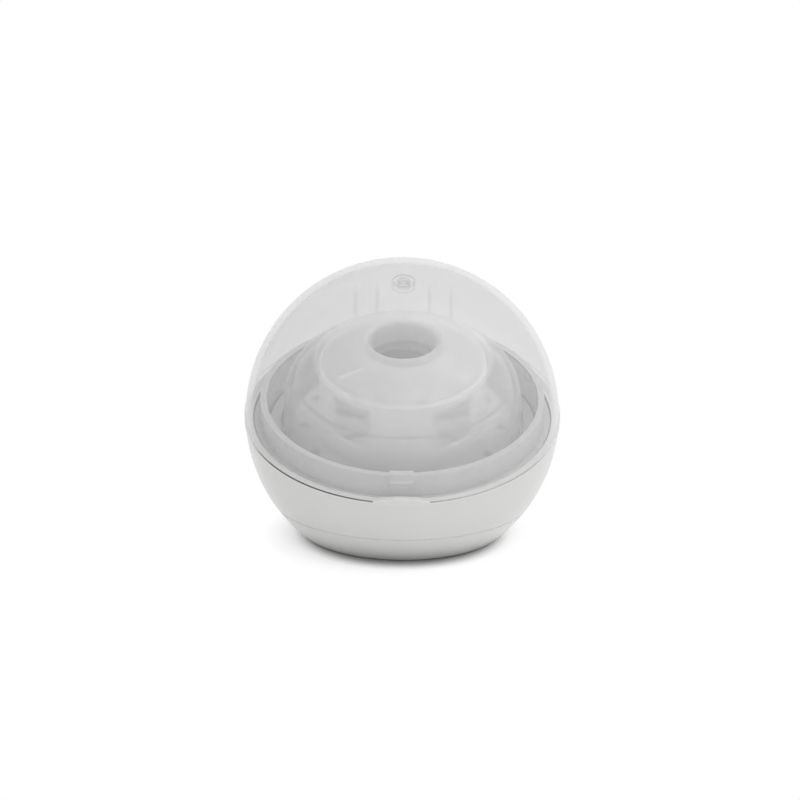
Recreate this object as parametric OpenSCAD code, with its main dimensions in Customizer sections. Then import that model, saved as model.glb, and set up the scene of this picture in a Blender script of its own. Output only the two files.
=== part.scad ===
// Ball-shaped microwave steriliser and carry case for soothers.
// The ball stands on a flat foot. Its opening plane leans forward, so the clear lid, the collar,
// the steam plate, the cup and the steam dome share one leaning axis through the ball's centre.
// Heights marked "leaning" are measured along that axis from the ball's centre. The front is -Y.

/* [Ball] */
// Outer diameter of the ball
ball_d = 100; // [98:1:104]
// How much of the ball's height the flat foot cuts away
foot_cut = 11.4; // [10.6:0.2:12]
// Forward lean of the opening plane, in degrees
lean = 14.5; // [12:0.5:15]
// Leaning height of the parting plane
part_h = -1; // [-2:0.1:-0.5]
// Gap between the lid's rim and the base's rim
seam_gap = 0.4; // [0.3:0.05:0.6]
// How far the rim beads stand out from the ball
bead_out = 0.3; // [0.2:0.05:0.5]
// Height of each rim bead
bead_h = 1.2; // [0.8:0.1:1.6]

/* [Base shell and foot cap] */
// Wall of the white outer shell
shell_wall = 2.4; // [2:0.1:2.6]
// Height of the seam between the shell and the foot cap
cap_seam_z = 10; // [9:0.5:12]
// Radius of the rounding between the foot and the ball
foot_round = 2.5; // [1.5:0.25:3.5]
// Depth of the relief groove in the underside of the foot
relief_h = 0.6; // [0.4:0.1:1]
// Inner radius of the relief groove
relief_r0 = 14; // [10:1:16]
// Outer radius of the relief groove
relief_r1 = 25; // [22:1:26]
// Radius of the V line that marks the cap seam
seam_line_r = 0.3; // [0.2:0.05:0.4]
// Height of the locating spigot above the cap seam
spigot_h = 3; // [2:0.5:4]
// Outer radius of the ring that carries the water bowl
support_r = 20; // [16:1:24]
// Width of the thumb lip where it meets the rim
lip_w = 18; // [14:1:22]
// Rise of the thumb lip above the rim
lip_rise = 1.4; // [1:0.1:1.8]

/* [Lid] */
// Wall of the clear lid
lid_wall = 2; // [1.6:0.1:2.2]
// Diameter of the steam vent
vent_d = 3.8; // [3:0.2:5]
// Diameter of the raised ring round the vent
vent_ring_d = 7; // [6:0.2:9]
// Height of the raised ring at its own outer edge
vent_ring_h = 0.5; // [0.3:0.1:1]
// Width of the catch pad
catch_w = 8.3; // [7:0.1:10]
// Height of the catch pad
catch_h = 2.6; // [2:0.1:3]
// Distance of the inner ribs on the lid's back wall from its middle
inner_rib_x = 8.4; // [7.5:0.1:9]
// Leaning height where the inner ribs end
inner_rib_top = 18; // [12:1:22]
// Distance of the outer ribs from the middle
outer_rib_x = 15.3; // [13:0.1:17]
// Leaning height where the outer ribs end
outer_rib_top = 21; // [14:1:24]
// Thickness of a rib
rib_t = 0.9; // [0.6:0.1:1.2]
// How far a rib stands out from the lid's inner wall
rib_out = 1.1; // [0.6:0.1:1.3]

/* [Hinge] */
// Diameter of the hinge pin
pin_d = 2.4; // [2:0.1:2.8]
// Outer diameter of the knuckles
knuckle_d = 5.6; // [5.2:0.1:6]
// Distance of the hinge axis behind the ball's surface
hinge_out = 3; // [3:0.1:3.6]
// Width over both ears of the base
hinge_w = 30.6; // [28:0.2:34]
// Width of the lid's middle knuckle
lid_knuckle_w = 16.4; // [14:0.2:18]

/* [Water bowl] */
// Wall of the bowl and its collar
bowl_wall = 2; // [1.6:0.1:2.2]
// Space between the outer shell and the bowl
bowl_gap = 2.3; // [2.2:0.1:2.6]
// Leaning height of the collar's top edge
collar_top = 5.9; // [5.3:0.1:6.2]
// Thickness of the flange that hangs the bowl in the shell
flange_t = 1.6; // [1.2:0.1:1.8]
// Height of the bowl's underside above the table
bowl_floor_z = 8.4; // [7.5:0.1:9]
// Width of the catch tongue on the collar
tongue_w = 7.7; // [6:0.1:8]
// Rise of the tongue above the collar's edge
tongue_rise = 0.7; // [0.4:0.1:1.2]
// Radius of the nub that the lid's catch passes
nub_r = 0.9; // [0.7:0.05:0.95]

/* [Steam plate] */
// Leaning height of the ledge that the plate lies on
ledge_h = -6; // [-7:0.1:-5.8]
// Inward reach of that ledge
ledge_w = 2.4; // [2:0.1:3]
// Thickness of the plate
plate_t = 1.4; // [1.2:0.1:1.8]
// Radius of the opening in the middle of the plate
plate_eye_r = 9; // [7:0.5:10]
// Number of steam slots round that opening
slot_n = 8; // [6:1:10]
// Number of steam holes outside the cup
hole_n = 12; // [8:1:20]
// Diameter of a steam hole and width of a slot
steam_d = 3.2; // [2.6:0.1:3.6]

/* [Soother cup] */
// Wall of the cup
cup_wall = 1.2; // [1:0.1:1.4]
// Space between the cup and the wall of the steam dome
cup_gap = 9.6; // [9.2:0.1:10.6]
// Leaning height of the cup's rim
cup_top = 19.7; // [18:0.1:19.7]
// Angle from the front or back to a window's near edge
window_from = 22; // [18:1:26]
// Angle from the front or back to a window's far edge
window_to = 56; // [50:1:62]
// Leaning height of a window's lower edge
window_low = 2; // [1:0.5:4]
// Leaning height of a window's upper edge
window_high = 16.5; // [14:0.5:17]

/* [Steam dome] */
// Space between the steam dome and the bowl's collar
dome_gap = 5.6; // [5.2:0.1:6]
// Leaning height where the dome is widest
dome_wide_h = 6.7; // [6.4:0.1:7.2]
// Rise of the unbroken dome above that height
dome_rise = 23.3; // [23:0.1:24]
// Radius of the dome's shoulder
shoulder_r = 14; // [13:0.1:15]
// Wall of the steam dome
dome_wall = 1.5; // [1.2:0.1:1.6]
// Extra wall of the dome's lower part, on the inside
skirt_extra = 0.7; // [0.4:0.1:1]
// Leaning height where that thicker part ends in a step
skirt_top = 12.9; // [10:0.1:14]
// Radius of the teat hole
teat_r = 10.8; // [10:0.1:11.4]
// Leaning height of the teat tube's lower edge
tube_low = 17.5; // [17:0.5:22]
// Radius of the rounded lip at the hole
teat_lip_r = 1.5; // [1.2:0.1:1.8]
// Width of the rim that the dome stands on
dome_rim_w = 1; // [0.8:0.1:1.4]

/* [Hidden] */
$fn = 96;

white = [0.96, 0.96, 0.95];
milky = [0.86, 0.87, 0.87, 0.75];
smoky = [0.78, 0.79, 0.80, 0.40];

ball_r = ball_d / 2;
centre_z = ball_r - foot_cut;               // height of the ball's centre above the table
big = 3 * ball_d;
over = 0.5;                                 // how far a cutter runs past what it cuts
clear = 0.3;                                // gap between pieces that lie close
lid_rim_h = part_h + seam_gap / 2;
base_rim_h = part_h - seam_gap / 2;

shell_in_r = ball_r - shell_wall;
foot_flat_r = sqrt(pow(ball_r - foot_round, 2) - pow(centre_z - foot_round, 2));
foot_blend_z = centre_z - (centre_z - foot_round) * ball_r / (ball_r - foot_round);
cap_floor = shell_wall;
seam_in_r = sqrt(pow(shell_in_r, 2) - pow(centre_z - cap_seam_z, 2));
seam_out_r = sqrt(pow(ball_r, 2) - pow(centre_z - cap_seam_z, 2));
spigot_r = seam_in_r - clear;
spigot_t = 1.4;
lip_circle_r = (pow(lip_w / 2, 2) + pow(lip_rise, 2)) / (2 * lip_rise);

collar_r = shell_in_r - bowl_gap;
collar_in_r = collar_r - bowl_wall;
flange_play = 0.5;                          // gap between the flange and the shell's wall
flange_sink = 0.7;                          // depth of the flange below the base's rim
flange_r = shell_in_r - flange_play;
flange_top = base_rim_h - flange_sink;
flange_low = flange_top - flange_t;
shelf_w = 1.8;                              // inward reach of the shelf inside the shell
shelf_t = 2;
tongue_t = 0.5;                             // how far the tongue stands out from the collar

lid_in_r = ball_r - lid_wall;
catch_play = 0.5;                           // gap between the catch pad and the nub
catch_low = part_h + lip_rise + clear;
catch_in_r = collar_r + nub_r + catch_play;
nub_h = catch_low + catch_h + clear;        // leaning height of the nub

knuckle_r = knuckle_d / 2;
hinge_y = ball_r + hinge_out;
run_fit = 0.06;                             // radial clearance of the lid's knuckle on the pin
knuckle_gap = 0.4;                          // side gap between the lid's knuckle and an ear
ear_x0 = lid_knuckle_w / 2 + knuckle_gap;
ear_x1 = hinge_w / 2;
web_depth = 6;                              // webs start inside the wall and are cut to it
web_y = ball_r - web_depth;
web_angle = 30;                             // direction of the web's corner in the lid's knuckle
web_corner_r = knuckle_r - 0.1;             // that corner lies just inside the knuckle
lid_web_rise = 5.5;
ear_web_drop = 14.5;

plate_top = ledge_h + plate_t;
plate_play = 0.9;                           // gap between the plate and the collar
plate_r = collar_in_r - plate_play;
ledge_t = 1.2;
ledge_drop = 3.3;
slot_r0 = 14;
slot_r1 = 22;

dome_r = collar_in_r - dome_gap;
cup_r = dome_r - dome_wall - cup_gap;
hole_ring_r = (cup_r + dome_r - dome_wall) / 2;
shoulder_c = dome_r - shoulder_r;
crown_r = (pow(shoulder_c, 2) + pow(dome_rise, 2) - pow(shoulder_r, 2))
          / (2 * (dome_rise - shoulder_r));
crown_c = dome_wide_h + dome_rise - crown_r;
lip_c = teat_r + teat_lip_r;
lip_top = crown_c + sqrt(pow(crown_r, 2) - pow(lip_c, 2));

// Puts children on the leaning axis, with the ball's centre as their origin.
module leaning() {
    translate([0, 0, centre_z]) rotate([lean, 0, 0]) children();
}

module ball(r) {
    translate([0, 0, centre_z]) sphere(r);
}

// All space above a height of the frame it is called in.
module above(h) {
    translate([-big / 2, -big / 2, h]) cube(big);
}

module below(h) {
    translate([-big / 2, -big / 2, h - big]) cube(big);
}

module ring(r0, r1, h0, h1) {
    rotate_extrude() translate([r0, h0]) square([r1 - r0, h1 - h0]);
}

// Extrudes a side view, drawn as [y, leaning height], from x0 to x1.
module along_x(x0, x1) {
    translate([x0, 0, 0]) rotate([90, 0, 90]) linear_extrude(x1 - x0) children();
}

module at_hinge(r) {
    translate([hinge_y, part_h]) circle(r);
}

// ---- base shell ----

// A low arch that rises over the rim at the front.
module lip_arch(grow) {
    translate([0, 0, base_rim_h + lip_rise - lip_circle_r])
        rotate([90, 0, 0]) cylinder(r = lip_circle_r + grow, h = big);
}

module thumb_lip() {
    leaning() intersection() {
        ring(lid_in_r + clear, ball_r + bead_out, base_rim_h - over, base_rim_h + lip_rise);
        lip_arch(0);
    }
}

module ear_side() {
    at_hinge(knuckle_r);
    polygon([
        [web_y, base_rim_h], [hinge_y, base_rim_h], [hinge_y + knuckle_r, part_h],
        [hinge_y + knuckle_r / 2, part_h - knuckle_d],
        [web_y + shell_wall, part_h - ear_web_drop], [web_y, part_h - ear_web_drop]
    ]);
}

module hinge_ears() {
    leaning() {
        along_x(ear_x0, ear_x1) ear_side();
        along_x(-ear_x1, -ear_x0) ear_side();
    }
}

// The shelf inside the shell that the bowl's flange lies on.
module shell_shelf() {
    shelf_r = shell_in_r - shelf_w;
    leaning() rotate_extrude() polygon([
        [shelf_r, flange_low], [shell_in_r + over, flange_low],
        [shell_in_r + over, flange_low - shelf_t - shelf_w],
        [shell_in_r, flange_low - shelf_t - shelf_w],
        [shelf_r, flange_low - shelf_t]
    ]);
}

module base_shell() {
    color(white) {
        difference() {
            union() {
                intersection() {
                    ball(ball_r);
                    leaning() below(base_rim_h);
                    above(cap_seam_z);
                }
                leaning() ring(lid_in_r, ball_r + bead_out, base_rim_h - bead_h, base_rim_h);
                hinge_ears();
            }
            ball(shell_in_r);
            leaning() along_x(-ear_x0, ear_x0) at_hinge(knuckle_r + clear);
            leaning() along_x(-hinge_w, hinge_w) at_hinge(pin_d / 2);
            seam_line();
        }
        shell_shelf();
        thumb_lip();
    }
}

// ---- foot cap ----

module seam_line() {
    translate([0, 0, cap_seam_z]) rotate_extrude() translate([seam_out_r, 0]) circle(seam_line_r);
}

// Side view of the ball below the seam, rounded into the flat foot.
module foot_side() {
    intersection() {
        translate([0, centre_z]) circle(ball_r);
        translate([0, foot_blend_z]) square([ball_r, cap_seam_z - foot_blend_z]);
    }
    intersection() {
        translate([foot_flat_r, foot_round]) circle(foot_round);
        square([ball_r, foot_round]);
    }
    square([foot_flat_r, foot_round]);
}

module foot_cap() {
    color(white) {
        difference() {
            rotate_extrude() foot_side();
            intersection() {
                ball(shell_in_r);
                above(cap_floor);
            }
            ring(relief_r0, relief_r1, -over, relief_h);
            seam_line();
        }
        difference() {
            ring(spigot_r - spigot_t, spigot_r, cap_seam_z - spigot_h, cap_seam_z + spigot_h);
            ball(collar_r + over);
        }
        ring(support_r - shell_wall, support_r, cap_floor - over, bowl_floor_z);
    }
}

// ---- water bowl ----

// Half a ball of radius r with a straight wall above it, cut flat at floor_z.
module bowl_body(r, floor_z, top_h) {
    intersection() {
        leaning() rotate_extrude() {
            intersection() {
                circle(r);
                translate([0, -r]) square(r);
            }
            square([r, top_h]);
        }
        above(floor_z);
    }
}

module catch_tongue() {
    leaning() {
        intersection() {
            ring(collar_in_r, collar_r + tongue_t, flange_top - over, collar_top + tongue_rise);
            translate([-tongue_w / 2, -big, -big / 2]) cube([tongue_w, big, big]);
        }
        translate([-tongue_w / 2, -collar_r, nub_h]) rotate([0, 90, 0]) cylinder(r = nub_r, h = tongue_w);
    }
}

// The ledge inside the bowl that the steam plate lies on.
module plate_ledge() {
    ledge_r = collar_in_r - ledge_w;
    leaning() rotate_extrude() polygon([
        [ledge_r, ledge_h], [collar_in_r + over, ledge_h],
        [collar_in_r + over, ledge_h - ledge_t - ledge_drop],
        [collar_in_r - over, ledge_h - ledge_t - ledge_drop],
        [ledge_r, ledge_h - ledge_t]
    ]);
}

module water_bowl() {
    color(white) {
        difference() {
            union() {
                bowl_body(collar_r, bowl_floor_z, collar_top);
                leaning() ring(collar_in_r, flange_r, flange_low, flange_top);
            }
            bowl_body(collar_in_r, bowl_floor_z + bowl_wall, collar_top + over);
        }
        plate_ledge();
        catch_tongue();
    }
}

// ---- steam plate ----

module steam_slot() {
    for (r = [slot_r0, slot_r1])
        translate([r, 0, ledge_h - over]) cylinder(d = steam_d, h = plate_t + 2 * over);
    translate([slot_r0, -steam_d / 2, ledge_h - over])
        cube([slot_r1 - slot_r0, steam_d, plate_t + 2 * over]);
}

module steam_plate() {
    color(milky) leaning() difference() {
        ring(plate_eye_r, plate_r, ledge_h, plate_top);
        for (i = [0 : slot_n - 1]) rotate((i + 0.5) * 360 / slot_n) steam_slot();
        for (i = [0 : hole_n - 1])
            rotate(i * 360 / hole_n) translate([hole_ring_r, 0, ledge_h - over])
                cylinder(d = steam_d, h = plate_t + 2 * over);
    }
}

// ---- soother cup ----

module window(a) {
    rotate_extrude(angle = window_to - window_from, start = a)
        translate([cup_r - cup_wall - over, window_low])
            square([cup_wall + 2 * over, window_high - window_low]);
}

module soother_cup() {
    color(milky) leaning() {
        difference() {
            ring(cup_r - cup_wall, cup_r, plate_top, cup_top - cup_wall / 2);
            for (side = [90, 270]) {
                window(side + window_from);
                window(side - window_to);
            }
        }
        translate([0, 0, cup_top - cup_wall / 2])
            rotate_extrude() translate([cup_r - cup_wall / 2, 0]) circle(cup_wall / 2);
    }
}

// ---- steam dome ----

// Solid side view of the dome, drawn t inside its outer face: a crown arc that runs into a
// shoulder arc, and straight down from there.
module dome_side(t) {
    intersection() {
        translate([0, crown_c]) circle(crown_r - t);
        polygon([[0, crown_c], [2 * shoulder_c, 2 * dome_wide_h - crown_c], [0, 2 * dome_wide_h - crown_c]]);
    }
    intersection() {
        translate([shoulder_c, dome_wide_h]) circle(shoulder_r - t);
        translate([0, dome_wide_h - over]) square(big);
    }
    translate([0, plate_top]) square([dome_r - t, dome_wide_h - plate_top]);
}

module steam_dome() {
    color(milky) leaning() {
        rotate_extrude() difference() {
            dome_side(0);
            dome_side(dome_wall + skirt_extra);
            intersection() {
                dome_side(dome_wall);
                translate([0, skirt_top]) square(big);
            }
            translate([0, plate_top - over]) square([lip_c, big]);
        }
        rotate_extrude() {
            translate([lip_c, lip_top - teat_lip_r]) circle(teat_lip_r);
            translate([teat_r, tube_low]) square([dome_wall, lip_top - teat_lip_r - tube_low]);
            translate([dome_r - dome_wall, plate_top]) square([dome_wall + dome_rim_w, dome_wall]);
        }
    }
}

// ---- lid ----

module lid_web_side() {
    at_hinge(knuckle_r);
    polygon([
        [web_y, lid_rim_h + over], [hinge_y, lid_rim_h + over],
        [hinge_y + web_corner_r * cos(web_angle), part_h + web_corner_r * sin(web_angle)],
        [hinge_y - knuckle_r * cos(web_angle), part_h + lid_web_rise], [web_y, part_h + lid_web_rise]
    ]);
}

module lid_rib(x, top) {
    intersection() {
        difference() {
            sphere(lid_in_r + over);
            sphere(lid_in_r - rib_out);
        }
        translate([x - rib_t / 2, 0, lid_rim_h + bead_h]) cube([rib_t, big, top - lid_rim_h - bead_h]);
    }
}

module catch_pad() {
    intersection() {
        difference() {
            cylinder(r = lid_in_r + over, h = big, center = true);
            cylinder(r = catch_in_r, h = big, center = true);
        }
        translate([-catch_w / 2, -big, catch_low]) cube([catch_w, big, catch_h]);
    }
}

module lid_dome() {
    vent_h = sqrt(pow(ball_r, 2) - pow(vent_ring_d / 2, 2)) + vent_ring_h;
    color(smoky) leaning() {
        difference() {
            union() {
                intersection() {
                    sphere(ball_r);
                    above(lid_rim_h);
                }
                ring(lid_in_r - over, ball_r + bead_out, lid_rim_h, lid_rim_h + bead_h);
                along_x(-lid_knuckle_w / 2, lid_knuckle_w / 2) lid_web_side();
                translate([0, 0, lid_in_r]) cylinder(d = vent_ring_d, h = vent_h - lid_in_r);
            }
            sphere(lid_in_r);
            along_x(-lid_knuckle_w, lid_knuckle_w) at_hinge(pin_d / 2 + run_fit);
            translate([0, 0, lid_in_r - over]) cylinder(d = vent_d, h = lid_wall + 4 * over);
            intersection() {
                lip_arch(clear);
                above(lid_rim_h - over);
            }
        }
        for (side = [-1, 1]) {
            lid_rib(side * inner_rib_x, inner_rib_top);
            lid_rib(side * outer_rib_x, outer_rib_top);
        }
        catch_pad();
    }
}

// ---- hinge pin ----

module hinge_pin() {
    color(white) leaning() along_x(clear - ear_x1, ear_x1 - clear) at_hinge(pin_d / 2);
}

base_shell();
foot_cap();
water_bowl();
steam_plate();
soother_cup();
steam_dome();
lid_dome();
hinge_pin();
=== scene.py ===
import math

import bpy
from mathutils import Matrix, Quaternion, Vector

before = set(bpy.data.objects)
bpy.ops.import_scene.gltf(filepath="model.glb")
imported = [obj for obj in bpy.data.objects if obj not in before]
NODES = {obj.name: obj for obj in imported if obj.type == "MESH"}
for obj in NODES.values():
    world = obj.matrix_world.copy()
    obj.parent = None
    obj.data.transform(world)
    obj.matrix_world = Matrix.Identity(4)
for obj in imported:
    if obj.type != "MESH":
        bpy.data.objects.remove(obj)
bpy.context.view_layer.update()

# ---- the ball, in metres, as in the part ----

BALL_R = 0.05
BALL_Z = 0.0386                               # height of the ball's centre over the table
BALL_CENTRE = Vector((0, 0, BALL_Z))
LEAN = math.radians(14.5)                     # forward lean of the opening plane
LEAN_AXIS = Vector((0, -math.sin(LEAN), math.cos(LEAN)))

# ---- where a material changes, in metres: heights (H) run along the leaning axis from the ball's
# centre, radii (R) are measured from that axis, and two values are where a soft edge starts and
# ends, unless the comment says otherwise ----

SEAM_H = -0.0012                              # height of the seam line on the base's rim, a line of painted shade
SEAM_REACH = 0.0003
SEAM_R = 0.0497, 0.0499                       # the line lies outside these radii
SEAM_X = 0.0088, 0.0092                       # and beside the thumb lip
SEAM_Y = -0.027, -0.012                       # and ends at the sides of the ball
SEAM_FADE_X = -0.02, 0.02                     # the painted shade grows fainter to the right, the side that the key lamp lights
SEAM_RIGHT = 0.4                              # to this share

CUP_INSIDE_R = 0.0259, 0.0262
COLLAR_WALL_R = 0.0435, 0.0445
COLLAR_EDGE_H = 0.0049, 0.0054

LID_OUTSIDE = 0.0488, 0.0494                  # distances from the ball's centre
VENT_H = 0.046, 0.047                         # the vent is above this
VENT_EDGES = 0.0019, 0.0035                   # radii of the vent and of the ring round it
VENT_REACH = 0.0006
VENT_DIM = 0.92                               # share of the light that the vent's edges let through
RIB_X = 0.0084, 0.0153                        # distances of the back ribs from the lid's middle
RIB_REACH = 0.0008
RIB_Y = 0.02, 0.022                           # they lie behind this
RIB_TOP_H = 0.018, 0.021                      # and below this
RIB_DIM = 0.95                                # share of the light that they let through

CROWN_H = 0.021, 0.0216                       # the steam dome is milkier above this
CROWN_VEIL = 0.2                              # by this much
CROWN_HIGHLIGHT_REACH = 0.0007                          # half the height of the painted highlight along its edge
CROWN_HIGHLIGHT = 0.12                             # and how much milkier that painted highlight makes it


# ---- material helpers ----

NOISE_MIDDLE = 0.3, 0.7                       # stretches that most of a noise's values lie in
NOISE_CORE = 0.35, 0.65


class Mat:
    """A node material that is built with short calls."""

    def __init__(self, name):
        self.mat = bpy.data.materials.new(name)
        self.mat.use_nodes = True
        self.tree = self.mat.node_tree
        self.nodes = self.tree.nodes
        self.nodes.clear()
        self.out = self.nodes.new("ShaderNodeOutputMaterial")
        self.coords = self.nodes.new("ShaderNodeTexCoord").outputs["Object"]

    def put(self, socket, value):
        """Links a socket to another one, or sets it to a value."""
        if isinstance(value, bpy.types.NodeSocket):
            self.tree.links.new(value, socket)
        else:
            socket.default_value = value

    def add(self, kind, *in_order, operation=None, **by_name):
        """A new node, with its inputs given in order or by name."""
        node = self.nodes.new(kind)
        if operation:
            node.operation = operation
        for socket, value in zip(node.inputs, in_order):
            self.put(socket, value)
        for name, value in by_name.items():
            self.put(node.inputs[name.replace("_", " ")], value)
        return node

    def noise(self, scale, detail):
        return self.add("ShaderNodeTexNoise", Vector=self.coords, Scale=scale, Detail=detail).outputs["Fac"]

    def ramp(self, value, low, high, out_low=0, out_high=1):
        """Goes from out_low to out_high as value goes from low to high, and stays level past both."""
        node = self.add("ShaderNodeMapRange", Value=value, From_Min=low, From_Max=high, To_Min=out_low,
                        To_Max=out_high)
        return node.outputs["Result"]

    def maths(self, operation, *inputs):
        return self.add("ShaderNodeMath", *inputs, operation=operation).outputs[0]

    def times(self, first, *others):
        for other in others:
            first = self.maths("MULTIPLY", first, other)
        return first

    def vectors(self, operation, *inputs):
        return self.add("ShaderNodeVectorMath", *inputs, operation=operation).outputs

    def leaning(self):
        """Leaning height of a point, and its distance from the leaning axis."""
        local = self.vectors("SUBTRACT", self.coords, BALL_CENTRE)["Vector"]
        height = self.vectors("DOT_PRODUCT", local, LEAN_AXIS)["Value"]
        across = self.vectors("CROSS_PRODUCT", local, LEAN_AXIS)["Vector"]
        return height, self.vectors("LENGTH", across)["Value"]

    def distance(self, place):
        return self.vectors("DISTANCE", self.coords, place)["Value"]

    def place(self):
        """A point's x, its distance from the middle plane, and its y."""
        parts = self.add("ShaderNodeSeparateXYZ", Vector=self.coords)
        x = parts.outputs["X"]
        return x, self.maths("ABSOLUTE", x), parts.outputs["Y"]

    def near(self, value, at, reach):
        """1 where value is at, falling to 0 at reach from it."""
        off = self.maths("ABSOLUTE", self.maths("SUBTRACT", value, at))
        return self.ramp(off, reach / 2, reach, 1, 0)

    def near_any(self, value, places, reach):
        first, second = places
        return self.maths("MAXIMUM", self.near(value, first, reach), self.near(value, second, reach))

    def blend(self, share, first, second):
        """A mix of two colours."""
        node = self.nodes.new("ShaderNodeMix")
        node.data_type = "RGBA"
        self.put(node.inputs["Factor"], share)
        self.put(node.inputs["A"], first)
        self.put(node.inputs["B"], second)
        return node.outputs["Result"]

    def mixed(self, share, first, second):
        """A mix of two shaders."""
        return self.add("ShaderNodeMixShader", share, first, second).outputs[0]

    def bump(self, scale, strength):
        """Normal of a very fine ripple."""
        node = self.add("ShaderNodeBump", Height=self.noise(scale, 2), Distance=RIPPLE_H, Strength=strength)
        return node.outputs["Normal"]

    def surface(self, shader):
        self.put(self.out.inputs["Surface"], shader)
        return self.mat


def rgba(colour, share=1.0):
    """A colour, or a grey given as one number, dimmed to a share of itself."""
    parts = colour if isinstance(colour, tuple) else (colour, colour, colour)
    return (*[share * part for part in parts], 1)


# ---- marks: how far a point of a surface lies in the place that differs, 0 to 1 ----

def seam_shade(m):
    """Painted shade: the dark line of shadow in the gap between lid and base, on the front of the rim but
    not on the thumb lip.
    """
    height, away = m.leaning()
    x, across, y = m.place()
    line = m.times(m.near(height, SEAM_H, SEAM_REACH), m.ramp(away, *SEAM_R))
    span = m.times(m.ramp(across, *SEAM_X), m.ramp(y, *SEAM_Y, 1, 0))
    return m.times(line, span, m.ramp(x, *SEAM_FADE_X, 1, SEAM_RIGHT))


def inner_mark(m):
    """The inside of the cup and the plate's middle, where less light gets."""
    return m.ramp(m.leaning()[1], *CUP_INSIDE_R, 1, 0)


def collar_shade(m):
    """The collar's outer wall and top edge, painted greyer than the bowl as shade, where the top edge would
    otherwise catch the light from above.
    """
    height, away = m.leaning()
    return m.maths("MAXIMUM", m.ramp(away, *COLLAR_WALL_R), m.ramp(height, *COLLAR_EDGE_H))


def lid_tint(m, clear):
    """What the lid lets through: less at the vent's edges and along the back ribs."""
    height, away = m.leaning()
    x, across, y = m.place()
    vent = m.times(m.ramp(height, *VENT_H), m.near_any(away, VENT_EDGES, VENT_REACH))
    wall = m.times(m.ramp(y, *RIB_Y), m.ramp(height, *RIB_TOP_H, 1, 0))
    ribs = m.times(m.near_any(across, RIB_X, RIB_REACH), wall)
    return m.blend(vent, m.blend(ribs, rgba(clear), rgba(clear, RIB_DIM)), rgba(clear, VENT_DIM))


def crown_veil_and_highlight(m, veil):
    """Milkier above the crown's edge, with a painted highlight along that edge, where the rim would catch
    the light.
    """
    height = m.leaning()[0]
    crown = m.ramp(height, *CROWN_H, 0, CROWN_VEIL)
    line = m.times(m.near(height, CROWN_H[0], CROWN_HIGHLIGHT_REACH), CROWN_HIGHLIGHT)
    return m.maths("ADD", veil, m.maths("ADD", crown, line))


# ---- plastics ----

PLASTIC_IOR = 1.49
RIPPLE_H = 0.00002
WHITE = 0.8, 0.8, 0.79
WHITE_DEEP = 0.78, 0.78, 0.77


def plastic(m, colour, sheen, soft, soft_reach, ripple):
    """The shader of moulded polypropylene, which light enters by soft_reach where soft is over 0."""
    shader = m.add("ShaderNodeBsdfPrincipled", Base_Color=colour, Roughness=sheen, Normal=ripple,
                   IOR=PLASTIC_IOR, Subsurface_Weight=soft, Subsurface_Radius=(1, 1, 1),
                   Subsurface_Scale=soft_reach)
    return shader.outputs[0]


def moulded(name, colour, deep, rough, soft=0.15, shade_mask=None, shade_grey=0.0):
    """Glossy moulding: an even body with faint flow tone, darkened to a grey of painted shade where a shade
    mask is given.
    """
    m = Mat(name)
    body = m.blend(m.ramp(m.noise(35, 2), *NOISE_MIDDLE), rgba(deep), rgba(colour))
    if shade_mask:
        body = m.blend(shade_mask(m), body, rgba(shade_grey))
    sheen = m.ramp(m.noise(120, 4), *NOISE_CORE, rough - 0.03, rough + 0.05)
    return m.surface(plastic(m, body, sheen, soft, 0.002, m.bump(260, 0.3)))


def light_passes(m, shader, tint):
    """Lets lamps and bounced light reach what is behind a see-through wall; the camera sees the shader."""
    clear = m.add("ShaderNodeBsdfTransparent", Color=rgba(tint)).outputs[0]
    path = m.nodes.new("ShaderNodeLightPath")
    for ray in ("Is Shadow Ray", "Is Diffuse Ray"):
        shader = m.mixed(path.outputs[ray], shader, clear)
    return shader


def veiled(name, clear, body, veil, limb, rough, passes, soft=0, tint=None, thicker=None):
    """Thin translucent moulding: light passes straight through it, dimmed by its tone, under a veil
    of plastic that thickens towards the limb, where the wall is seen along its length. limb says how
    edge-on the wall is where that begins, the veil at its end, and how far from the ball's centre it
    applies, or None for everywhere."""
    m = Mat(name)
    colour = m.blend(m.ramp(m.noise(40, 2), *NOISE_MIDDLE), rgba(body, 0.985), rgba(body))
    sheen = m.ramp(m.noise(90, 3), *NOISE_CORE, rough - 0.02, rough + 0.03)
    wall = plastic(m, colour, sheen, soft, 0.003, m.bump(180, 0.25))
    through = m.add("ShaderNodeBsdfTransparent", Color=tint(m, clear) if tint else rgba(clear)).outputs[0]
    start, limb_veil, outside = limb
    facing = m.add("ShaderNodeLayerWeight", Blend=0.5).outputs["Facing"]
    rise = m.ramp(facing, start, 1, 0, limb_veil - veil)
    if outside:
        rise = m.times(rise, m.ramp(m.distance(BALL_CENTRE), *outside))
    share = m.maths("ADD", rise, veil)
    if thicker:
        share = thicker(m, share)
    return m.surface(light_passes(m, m.mixed(share, through, wall), passes))


def dress(material, *nodes):
    for node in nodes:
        mesh = NODES[node].data
        mesh.materials.clear()
        mesh.materials.append(material)
        for face in mesh.polygons:
            face.use_smooth = True


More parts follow.
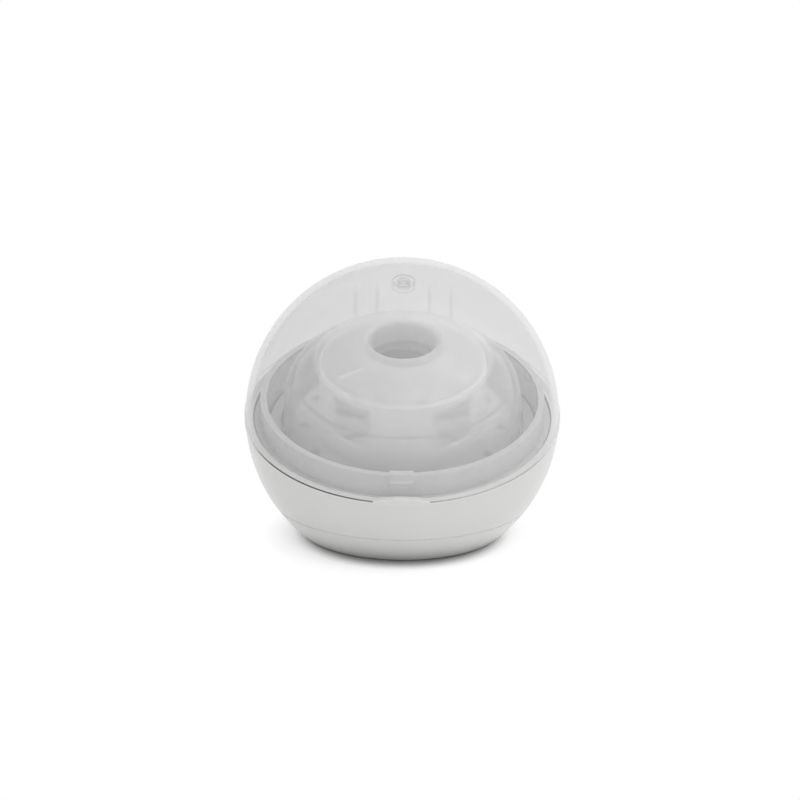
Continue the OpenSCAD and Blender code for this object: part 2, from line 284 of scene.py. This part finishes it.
def dress_case():
    white = moulded("white_plastic", WHITE, WHITE_DEEP, 0.22)
    # The shell's seam, the collar's outer wall and edge, and the inside of the cup and plate are darkened
    # with painted shade.
    shell = moulded("shell_plastic", WHITE, WHITE_DEEP, 0.22, shade_mask=seam_shade, shade_grey=0.13)
    bowl = moulded("bowl_plastic", 0.84, 0.82, 0.28, shade_mask=collar_shade, shade_grey=0.6)
    plate = moulded("plate_plastic", 0.74, 0.7, 0.3, soft=0.8, shade_mask=inner_mark, shade_grey=0.5)
    milky = moulded("milky_plastic", 0.93, 0.9, 0.3, soft=0.8, shade_mask=inner_mark, shade_grey=0.5)
    frosted = veiled("frosted_plastic", clear=0.98, body=0.95, veil=0.26, limb=(0.6, 0.7, None),
                     rough=0.18, passes=0.98, soft=1, thicker=crown_veil_and_highlight)
    clear = veiled("clear_plastic", clear=0.94, body=0.94, veil=0.17, limb=(0.6, 0.75, LID_OUTSIDE),
                   rough=0.1, passes=0.99, tint=lid_tint)
    dress(white, "foot_cap", "hinge_pin")
    dress(shell, "base_shell")
    dress(bowl, "water_bowl")
    dress(plate, "steam_plate")
    dress(milky, "soother_cup")
    dress(frosted, "steam_dome")
    dress(clear, "lid_dome")


# ---- stage ----

FLOOR_R = 3.0
FLOOR_GREY = 0.8, 0.82
FLOOR_SEEN = 1.6                              # the camera and reflections see it this much brighter
SHADOW_AT = Vector((0, -0.007, 0))            # the shadow lies towards the front of the foot
SHADOW_R = 0.029, 0.044                       # past these radii they see a plain white floor
CONTACT_SHADOW_R = 0.0265, 0.034                     # painted contact shadow: the floor darkens towards the foot between these radii
CONTACT_SHADOW_DARK = 0.35

SOFT_LIGHT = 0.7                              # strength of the light that comes from all sides
KEY_AT, KEY_WATTS = (0.6, -0.1, 1.0), 4.2
FILL_AT, FILL_WATTS = (0.2, -1.1, 0.5), 1.4
LAMP_SIZE = 1.2


def seen_ray(tree):
    """1 for rays from the camera and for those that a glossy or see-through surface sends on."""
    path = tree.nodes.new("ShaderNodeLightPath")
    seen = path.outputs["Is Camera Ray"]
    for other in ("Is Glossy Ray", "Is Transmission Ray"):
        larger = tree.nodes.new("ShaderNodeMath")
        larger.operation = "MAXIMUM"
        tree.links.new(seen, larger.inputs[0])
        tree.links.new(path.outputs[other], larger.inputs[1])
        seen = larger.outputs[0]
    return seen


def floor_white():
    m = Mat("floor_white")
    grain = m.ramp(m.noise(14, 3), *NOISE_MIDDLE, *FLOOR_GREY)
    seen = seen_ray(m.tree)
    far = m.distance(SHADOW_AT)
    # The floor's grey carries a painted contact shadow near the foot, and is raised for the rays that the
    # camera sees.
    level = m.times(grain, m.ramp(far, *CONTACT_SHADOW_R, CONTACT_SHADOW_DARK, 1), m.ramp(seen, 0, 1, 1, FLOOR_SEEN))
    tint = m.add("ShaderNodeCombineColor", Red=level, Green=level, Blue=level).outputs[0]
    shaded = m.add("ShaderNodeBsdfDiffuse", Color=tint).outputs[0]
    plain = m.add("ShaderNodeEmission", Strength=1).outputs[0]
    return m.surface(m.mixed(m.times(m.ramp(far, *SHADOW_R), seen), shaded, plain))


def make_floor():
    r = FLOOR_R
    mesh = bpy.data.meshes.new("floor")
    mesh.from_pydata([(-r, -r, 0), (r, -r, 0), (r, r, 0), (-r, r, 0)], [], [(0, 1, 2, 3)])
    mesh.materials.append(floor_white())
    floor = bpy.data.objects.new("floor", mesh)
    bpy.context.scene.collection.objects.link(floor)


def background(tree, colour, strength):
    node = tree.nodes.new("ShaderNodeBackground")
    node.inputs["Color"].default_value = colour
    node.inputs["Strength"].default_value = strength
    return node.outputs[0]


def make_world():
    """Soft light from all sides, seen as white by the camera."""
    world = bpy.data.worlds.new("studio")
    bpy.context.scene.world = world
    world.use_nodes = True
    tree = world.node_tree
    tree.nodes.clear()
    mix = tree.nodes.new("ShaderNodeMixShader")
    tree.links.new(seen_ray(tree), mix.inputs[0])
    tree.links.new(background(tree, (1, 1, 1, 1), SOFT_LIGHT), mix.inputs[1])
    tree.links.new(background(tree, (1, 1, 0.995, 1), 1), mix.inputs[2])
    tree.links.new(mix.outputs[0], tree.nodes.new("ShaderNodeOutputWorld").inputs["Surface"])


def area_lamp(name, place, watts):
    data = bpy.data.lights.new(name, "AREA")
    data.shape = "SQUARE"
    data.size = LAMP_SIZE
    data.energy = watts
    lamp = bpy.data.objects.new(name, data)
    bpy.context.scene.collection.objects.link(lamp)
    lamp.location = place
    lamp.rotation_mode = "QUATERNION"
    lamp.rotation_quaternion = (BALL_CENTRE - Vector(place)).to_track_quat("-Z", "Y")


# ---- camera ----

CAMERA_FAR = 4.0
CAMERA_UP = math.radians(18.5)
CAMERA_ROLL = math.radians(0.6)
PHOTO_PX = 800
OUTLINE_PX = 156.8                            # radius of the ball's outline in the photo
OUTLINE_AT = 402.3, 413.6                     # its centre, from the photo's top left corner
SENSOR_MM = 36


def make_camera():
    data = bpy.data.cameras.new("camera")
    camera = bpy.data.objects.new("camera", data)
    bpy.context.scene.collection.objects.link(camera)
    bpy.context.scene.camera = camera
    data.sensor_width = SENSOR_MM
    focal_px = OUTLINE_PX / math.tan(math.asin(BALL_R / CAMERA_FAR))
    data.lens = focal_px / PHOTO_PX * SENSOR_MM
    data.shift_x = -(OUTLINE_AT[0] - PHOTO_PX / 2) / PHOTO_PX
    data.shift_y = (OUTLINE_AT[1] - PHOTO_PX / 2) / PHOTO_PX
    data.clip_start = 0.01
    data.clip_end = 20
    back = Vector((0, -math.cos(CAMERA_UP), math.sin(CAMERA_UP)))
    camera.location = BALL_CENTRE + CAMERA_FAR * back
    camera.rotation_mode = "QUATERNION"
    camera.rotation_quaternion = Quaternion(back, CAMERA_ROLL) @ (-back).to_track_quat("-Z", "Y")


dress_case()
make_floor()
make_world()
area_lamp("key", KEY_AT, KEY_WATTS)
area_lamp("fill", FILL_AT, FILL_WATTS)
make_camera()
bpy.context.scene.view_settings.view_transform = "Standard"
